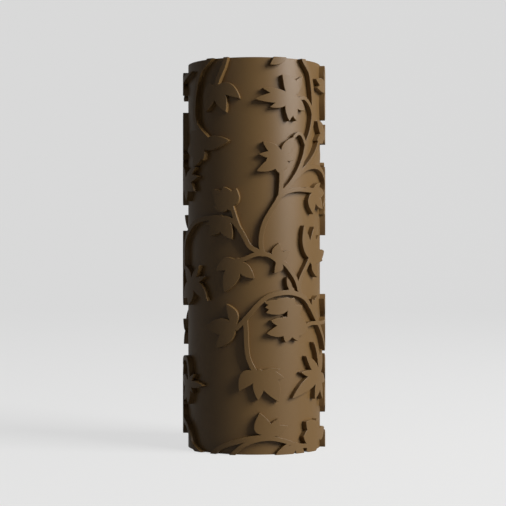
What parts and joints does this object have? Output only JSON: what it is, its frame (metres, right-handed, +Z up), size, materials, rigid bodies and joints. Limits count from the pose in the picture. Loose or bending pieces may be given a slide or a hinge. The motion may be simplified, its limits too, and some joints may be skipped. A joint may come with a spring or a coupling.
{
  "type": "texture roller",
  "caption": "Upright texture roller: a vine-and-leaf relief sleeve on a drum that turns freely on a hollow axle for a handle rod.",
  "frame": {"origin": "centre of the lower end, on the roller's axis", "axes": "+Z up along the roller's axis, the side that the picture shows towards -Y"},
  "size_m": [0.045, 0.045, 0.12],
  "materials": {
    "sleeve_brown": "matte moulded brown, fine grain",
    "core_grey": "plain extruded",
    "cap_brown": "turned, satin",
    "bush_cream": "turned acetal",
    "axle_steel": "drawn and polished",
    "spring_steel": "blackened and oiled",
    "grip_rubber": "moulded"
  },
  "bodies": {
    "axle": {"axle_tube": "axle_steel", "upper_thrust_washer": "axle_steel", "lower_thrust_washer": "axle_steel", "upper_retaining_ring": "spring_steel", "lower_retaining_ring": "spring_steel"},
    "drum": {"texture_sleeve": "sleeve_brown", "core_tube": "core_grey", "upper_grip_ring": "grip_rubber", "lower_grip_ring": "grip_rubber", "upper_end_cap": "cap_brown", "lower_end_cap": "cap_brown", "upper_bush": "bush_cream", "lower_bush": "bush_cream"}
  },
  "joints": [
    {"name": "drum_spin", "type": "hinge", "parent": "axle", "child": "drum", "pos_m": [0, 0, 0.06], "axis": [0, 0, 1], "continuous": true}
  ]
}
